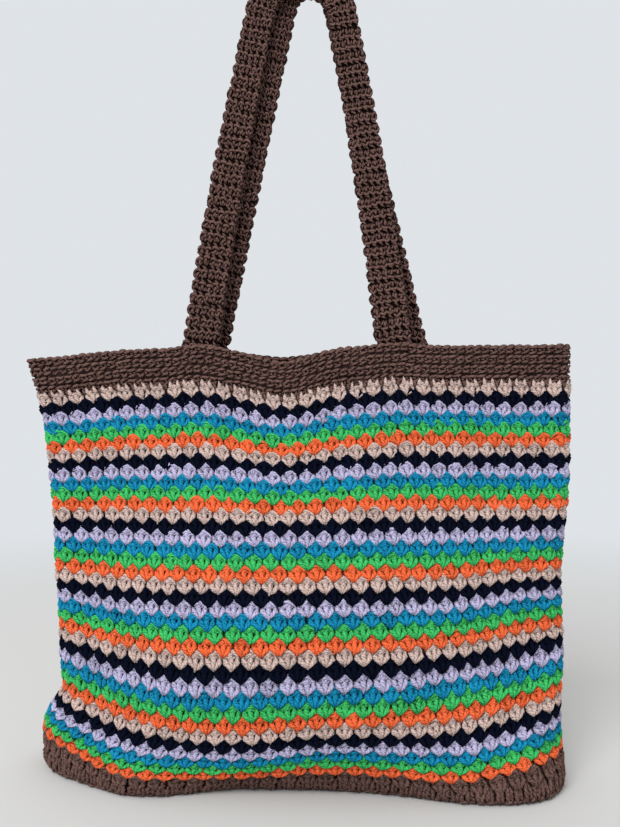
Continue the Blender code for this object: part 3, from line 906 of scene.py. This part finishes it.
# Strength of sheen; how much the painted shade of tiny holes, as small dark specks, and of the hollows takes
# from the light, the rest by default
SHEENS = {"lilac": 0.06, "beige": 0.06}
HOLE_SHADES = {"brown": -3.5, "orange": -2.1}
HOLLOW_SHADES = {"brown": -0.72, "orange": -0.54}
USUAL_HOLE_SHADE, USUAL_HOLLOW_SHADE = -2.6, -0.64

# Plies in the yarn, and the length in mm over which they wind round it once
PLIES, TURN_LENGTH = 3, 7.5

# Painted shade and highlight of the yarn: light in the groove between plies, and what the ply, a stitch's
# own tone, the fibres and the blotches add; the value of its noise from which on a tiny hole's painted shade
# starts; and the darkest and lightest that the yarn gets
GROOVE_LIGHT, PLY_LIGHT = 0.50, 0.50
TONE_LIGHT, FIBRE_LIGHT, BLOTCH_LIGHT = 0.04, 1.10, 0.25
HOLE_SHADE_FROM = 0.58
DARKEST, LIGHTEST = 0.06, 1.3


def noise(material, place, scale, detail=2.0):
    """Value of a noise over the object, of this scale and detail."""
    nodes = material.node_tree.nodes
    made = nodes.new("ShaderNodeTexNoise")
    made.inputs["Scale"].default_value = scale
    made.inputs["Detail"].default_value = detail
    material.node_tree.links.new(place.outputs["Object"], made.inputs["Vector"])
    return made.outputs["Fac"]


def blend(material, share, first, second):
    """Colour between two constant ones, by a share that a socket gives."""
    made = material.node_tree.nodes.new("ShaderNodeMix")
    made.data_type = "RGBA"
    made.inputs["A"].default_value = (*first, 1.0)
    made.inputs["B"].default_value = (*second, 1.0)
    material.node_tree.links.new(share, made.inputs["Factor"])
    return made.outputs["Result"]


def yarn_material(name):
    """Plied cotton: painted shade darkens its colour in the hollows, in tiny holes and between the plies,
    with fine fibres over it.
    """
    label = f"yarn_{name}_cotton"
    if label in bpy.data.materials:
        return bpy.data.materials[label]
    colour = np.array(getattr(bpy.context.scene.crochet_yarns, name))
    material = bpy.data.materials.new(label)
    material.use_nodes = True
    nodes, links = material.node_tree.nodes, material.node_tree.links
    shader = nodes["Principled BSDF"]

    def math_node(kind, a, b=0.0, c=0.0):
        node = nodes.new("ShaderNodeMath")
        node.operation = kind
        for socket, value in zip(node.inputs, (a, b, c)):
            if isinstance(value, (int, float)):
                socket.default_value = value
            else:
                links.new(value, socket)
        return node.outputs[0]

    def attribute(label):
        node = nodes.new("ShaderNodeAttribute")
        node.attribute_name = label
        return node.outputs["Fac"]

    place = nodes.new("ShaderNodeTexCoord")
    yarn_map = nodes.new("ShaderNodeUVMap")
    yarn_map.uv_map = "yarn"
    split = nodes.new("ShaderNodeSeparateXYZ")
    links.new(yarn_map.outputs["UV"], split.inputs[0])
    # Plies: ridges that wind round the yarn, bumped, with painted highlight on them and painted shade in
    # their grooves
    phase = math_node("MULTIPLY_ADD", split.outputs["X"], 2 * math.pi * PLIES, 0.0)
    twist = math_node("MULTIPLY_ADD", split.outputs["Y"], 2 * math.pi * PLIES / TURN_LENGTH, phase)
    ply = math_node("ABSOLUTE", math_node("SINE", math_node("MULTIPLY", twist, 0.5)))
    fibre = noise(material, place, 900.0, 3.0)
    blotch = noise(material, place, 60.0)
    # tiny holes between the fibres, painted as small dark specks of shade
    hole_shade = noise(material, place, 620.0, 1.0)
    # painted highlight on each ply and painted shade in the grooves between them
    light = math_node("MULTIPLY_ADD", math_node("POWER", ply, 0.7), PLY_LIGHT, GROOVE_LIGHT)
    # painted shade of tiny holes and of the hollows, with the yarn's own tone, fibres and blotches
    for value, strength in (
        (math_node("MAXIMUM", math_node("SUBTRACT", hole_shade, HOLE_SHADE_FROM), 0.0), HOLE_SHADES.get(name, USUAL_HOLE_SHADE)),
        (attribute("tone"), TONE_LIGHT),
        (math_node("SUBTRACT", fibre, 0.5), FIBRE_LIGHT),
        (math_node("SUBTRACT", blotch, 0.5), BLOTCH_LIGHT),
        (attribute("deep"), HOLLOW_SHADES.get(name, USUAL_HOLLOW_SHADE)),
    ):
        light = math_node("MULTIPLY_ADD", value, strength, light)
    # the colour between its painted shade and its painted highlight
    shade = blend(material, light, colour * DARKEST, np.minimum(colour * LIGHTEST, 1.0))
    links.new(shade, shader.inputs["Base Color"])
    bump = nodes.new("ShaderNodeBump")
    bump.inputs["Strength"].default_value = 0.6
    bump.inputs["Distance"].default_value = 0.0005
    height = math_node("MULTIPLY_ADD", fibre, 0.35, ply)
    links.new(height, bump.inputs["Height"])
    links.new(bump.outputs["Normal"], shader.inputs["Normal"])
    shader.inputs["Roughness"].default_value = 0.9
    shader.inputs["Specular IOR Level"].default_value = 0.04
    shader.inputs["Sheen Weight"].default_value = SHEENS.get(name, 0.0)
    shader.inputs["Sheen Roughness"].default_value = 0.5
    return material


# Distances from the middle between which the floor fades away; its radius, its corners and how pale its
# grain is
FLOOR_FADE = (0.35, 1.5)
FLOOR_RADIUS = 1.6
FLOOR_CORNERS = 96
GRAIN_SHADE = 0.97

# Lamp: where it is, what it points at, and its size
LAMP_AT, LAMP_AIM, LAMP_SIZE = (-0.9, -1.9, 2.0), (0.0, 0.0, 0.2), 1.6

# Camera, level: where it is, and its focal length and the picture's height in pixels
CAMERA_AT = (0.0086, -0.649, 0.264)
FOCAL_LENGTH, PICTURE_HEIGHT = 871.0, 827.0
SENSOR = 36.0


def floor_material(colour):
    """Matt and pale with a faint grain, and it fades away outwards, so that no edge shows far off."""
    material = bpy.data.materials.new("pale_floor")
    material.use_nodes = True
    nodes, links = material.node_tree.nodes, material.node_tree.links
    shader = nodes["Principled BSDF"]
    shader.inputs["Roughness"].default_value = 0.9
    place = nodes.new("ShaderNodeTexCoord")
    shade = blend(material, noise(material, place, 6.0), np.array(colour) * GRAIN_SHADE, colour)
    links.new(shade, shader.inputs["Base Color"])
    away = nodes.new("ShaderNodeVectorMath")
    away.operation = "LENGTH"
    links.new(place.outputs["Object"], away.inputs[0])
    fade = nodes.new("ShaderNodeMapRange")
    fade.interpolation_type = "SMOOTHSTEP"
    for socket, value in zip(("From Min", "From Max", "To Min", "To Max"), (*FLOOR_FADE, 1.0, 0.0)):
        fade.inputs[socket].default_value = value
    links.new(away.outputs["Value"], fade.inputs["Value"])
    links.new(fade.outputs["Result"], shader.inputs["Alpha"])
    return material


def make_stage(look):
    """Pale round floor, pale surroundings, a large soft lamp at the front and the camera."""
    turn = np.arange(FLOOR_CORNERS) / FLOOR_CORNERS * 2 * math.pi
    ring = np.column_stack((np.cos(turn), np.sin(turn), np.zeros(FLOOR_CORNERS))) * FLOOR_RADIUS
    mesh = bpy.data.meshes.new("floor")
    mesh.from_pydata(ring.tolist(), [], [list(range(FLOOR_CORNERS))])
    mesh.materials.append(floor_material(tuple(look.floor_colour)))
    floor = bpy.data.objects.new("floor", mesh)
    bpy.context.scene.collection.objects.link(floor)
    make_surroundings(look)
    lamp = bpy.data.lights.new("soft_lamp", "AREA")
    lamp.shape = "DISK"
    lamp.size = LAMP_SIZE
    lamp.energy = look.lamp_power
    soft = bpy.data.objects.new("soft_lamp", lamp)
    soft.location = LAMP_AT
    aim = Vector(LAMP_AIM) - Vector(LAMP_AT)
    soft.rotation_euler = aim.to_track_quat("-Z", "Y").to_euler()
    bpy.context.scene.collection.objects.link(soft)
    eye = bpy.data.cameras.new("camera")
    eye.sensor_width = SENSOR
    eye.lens = FOCAL_LENGTH / PICTURE_HEIGHT * SENSOR
    camera = bpy.data.objects.new("camera", eye)
    camera.location = CAMERA_AT
    camera.rotation_euler = (math.pi / 2, 0.0, 0.0)
    bpy.context.scene.collection.objects.link(camera)
    bpy.context.scene.camera = camera
    bpy.context.scene.view_settings.view_transform = "Standard"


def make_surroundings(look):
    """Even white light from all round, and the backdrop's own colour where the camera or a shine sees it."""
    world = bpy.data.worlds.new("pale_surroundings")
    world.use_nodes = True
    nodes, links = world.node_tree.nodes, world.node_tree.links
    back = nodes["Background"]
    back.inputs["Color"].default_value = (1.0, 1.0, 1.0, 1.0)
    back.inputs["Strength"].default_value = look.sky_light
    seen = nodes.new("ShaderNodeBackground")
    seen.inputs["Color"].default_value = (*look.backdrop_colour, 1.0)
    seen.inputs["Strength"].default_value = 1.0
    path = nodes.new("ShaderNodeLightPath")
    seen_by = path.outputs["Is Camera Ray"]
    for kind in ("Is Glossy Ray", "Is Transmission Ray"):
        either = nodes.new("ShaderNodeMath")
        either.operation = "MAXIMUM"
        links.new(seen_by, either.inputs[0])
        links.new(path.outputs[kind], either.inputs[1])
        seen_by = either.outputs[0]
    mix = nodes.new("ShaderNodeMixShader")
    links.new(seen_by, mix.inputs[0])
    links.new(back.outputs[0], mix.inputs[1])
    links.new(seen.outputs[0], mix.inputs[2])
    links.new(mix.outputs[0], nodes["World Output"].inputs["Surface"])
    bpy.context.scene.world = world


# Settings, operators and panel


def colour_setting(name, text):
    """Setting for the colour of this yarn, started at the one in YARNS."""
    default = tuple(float(x) for x in linear(YARNS[name]))
    return bpy.props.FloatVectorProperty(
        name=name.capitalize(), description=text, subtype="COLOR", size=3, min=0.0, max=1.0,
        default=default,
    )


class CrochetYarns(bpy.types.PropertyGroup):
    """Colour of each yarn"""

    orange: colour_setting("orange", "First round of each repeat")
    green: colour_setting("green", "Second round of each repeat")
    teal: colour_setting("teal", "Third round of each repeat")
    lilac: colour_setting("lilac", "Fourth round of each repeat")
    navy: colour_setting("navy", "Fifth round of each repeat")
    beige: colour_setting("beige", "Last round of each repeat")
    brown: colour_setting("brown", "Base, band and straps")


class CrochetSizes(bpy.types.PropertyGroup):
    """Size and number of the stitches"""

    clusters: bpy.props.IntProperty(
        name="Clusters", description="Clusters in a round", default=66, min=12, max=200
    )
    post_radius: bpy.props.FloatProperty(
        name="Post radius", description="Half the width of a treble's post", default=0.0020, unit="LENGTH"
    )
    loop_radius: bpy.props.FloatProperty(
        name="Loop radius", description="Half the width of the loop over a cluster", default=0.0015,
        unit="LENGTH",
    )
    stitch_width: bpy.props.FloatProperty(
        name="Stitch width", description="Width of a plain stitch", default=0.0060, unit="LENGTH"
    )
    band_pairs: bpy.props.IntProperty(
        name="Band rows", description="Double rows of plain stitches at the mouth", default=4, min=1, max=10
    )
    strap_columns: bpy.props.IntProperty(
        name="Strap columns", description="Stitches across a strap", default=5, min=2, max=12
    )


class CrochetStage(bpy.types.PropertyGroup):
    """Floor, surroundings and light"""

    floor_colour: bpy.props.FloatVectorProperty(
        name="Floor", description="Colour of the floor", subtype="COLOR", size=3,
        default=(0.66, 0.66, 0.65),
    )
    backdrop_colour: bpy.props.FloatVectorProperty(
        name="Backdrop", description="Colour behind the bag", subtype="COLOR", size=3,
        default=(0.74, 0.77, 0.80),
    )
    sky_light: bpy.props.FloatProperty(
        name="Even light", description="Light from all round", default=0.73, min=0.0, max=3.0
    )
    lamp_power: bpy.props.FloatProperty(
        name="Lamp", description="Power of the soft lamp", default=52.0, min=0.0, unit="POWER"
    )


class CROCHET_OT_base(bpy.types.Operator):
    """Work the oval base and its rim"""

    bl_idname = "crochet.base"
    bl_label = "Base"

    def execute(self, context):
        make_base(context.scene.crochet_sizes, np.random.default_rng(SEED))
        return {"FINISHED"}


class CROCHET_OT_rounds(bpy.types.Operator):
    """Work the striped rounds of clusters"""

    bl_idname = "crochet.rounds"
    bl_label = "Rounds"

    def execute(self, context):
        rng = np.random.default_rng(SEED + 1)
        sizes = context.scene.crochet_sizes
        shapes = [cluster(rng, sizes) for _ in range(MANY)]
        last = [cluster(rng, sizes, spiked=True) for _ in range(SOME)]
        bounds = round_bounds()
        for number in range(ROUNDS):
            make_round(number, bounds, last if number == ROUNDS - 1 else shapes, sizes, rng)
        return {"FINISHED"}


class CROCHET_OT_band(bpy.types.Operator):
    """Work the band at the mouth"""

    bl_idname = "crochet.band"
    bl_label = "Band"

    def execute(self, context):
        make_band(context.scene.crochet_sizes, np.random.default_rng(SEED + 2))
        return {"FINISHED"}


class CROCHET_OT_straps(bpy.types.Operator):
    """Work the two straps"""

    bl_idname = "crochet.straps"
    bl_label = "Straps"

    def execute(self, context):
        rng = np.random.default_rng(SEED + 3)
        for name, strap in STRAPS.items():
            make_strap(name, strap, context.scene.crochet_sizes, rng)
        return {"FINISHED"}


class CROCHET_OT_stage(bpy.types.Operator):
    """Set up the floor, the light and the camera"""

    bl_idname = "crochet.stage"
    bl_label = "Stage"

    def execute(self, context):
        make_stage(context.scene.crochet_stage)
        return {"FINISHED"}


class CROCHET_PT_sidebar(bpy.types.Panel):
    """Buttons and settings of the bag"""

    bl_idname = "CROCHET_PT_sidebar"
    bl_label = "Crocheted tote bag"
    bl_space_type = "VIEW_3D"
    bl_region_type = "UI"
    bl_category = "Crochet"

    def draw(self, context):
        layout = self.layout
        for key in GROUPS:
            group = getattr(context.scene, key)
            box = layout.box()
            for name in group.bl_rna.properties.keys():
                if name not in ("rna_type", "name"):
                    box.prop(group, name)
        for operator in OPERATORS:
            layout.operator(operator.bl_idname)


OPERATORS = (CROCHET_OT_base, CROCHET_OT_rounds, CROCHET_OT_band, CROCHET_OT_straps, CROCHET_OT_stage)
GROUPS = {"crochet_yarns": CrochetYarns, "crochet_sizes": CrochetSizes, "crochet_stage": CrochetStage}


def register():
    """Register the settings, the operators and the panel."""
    for cls in (*GROUPS.values(), *OPERATORS, CROCHET_PT_sidebar):
        bpy.utils.register_class(cls)
    for name, group in GROUPS.items():
        setattr(bpy.types.Scene, name, bpy.props.PointerProperty(type=group))


def unregister():
    """Take the settings, the operators and the panel away again."""
    for name in GROUPS:
        delattr(bpy.types.Scene, name)
    for cls in reversed((*GROUPS.values(), *OPERATORS, CROCHET_PT_sidebar)):
        bpy.utils.unregister_class(cls)


def main():
    """Build the stage and the bag."""
    register()
    bpy.ops.crochet.stage()
    bpy.ops.crochet.base()
    bpy.ops.crochet.rounds()
    bpy.ops.crochet.band()
    bpy.ops.crochet.straps()


if __name__ == "__main__":
    main()
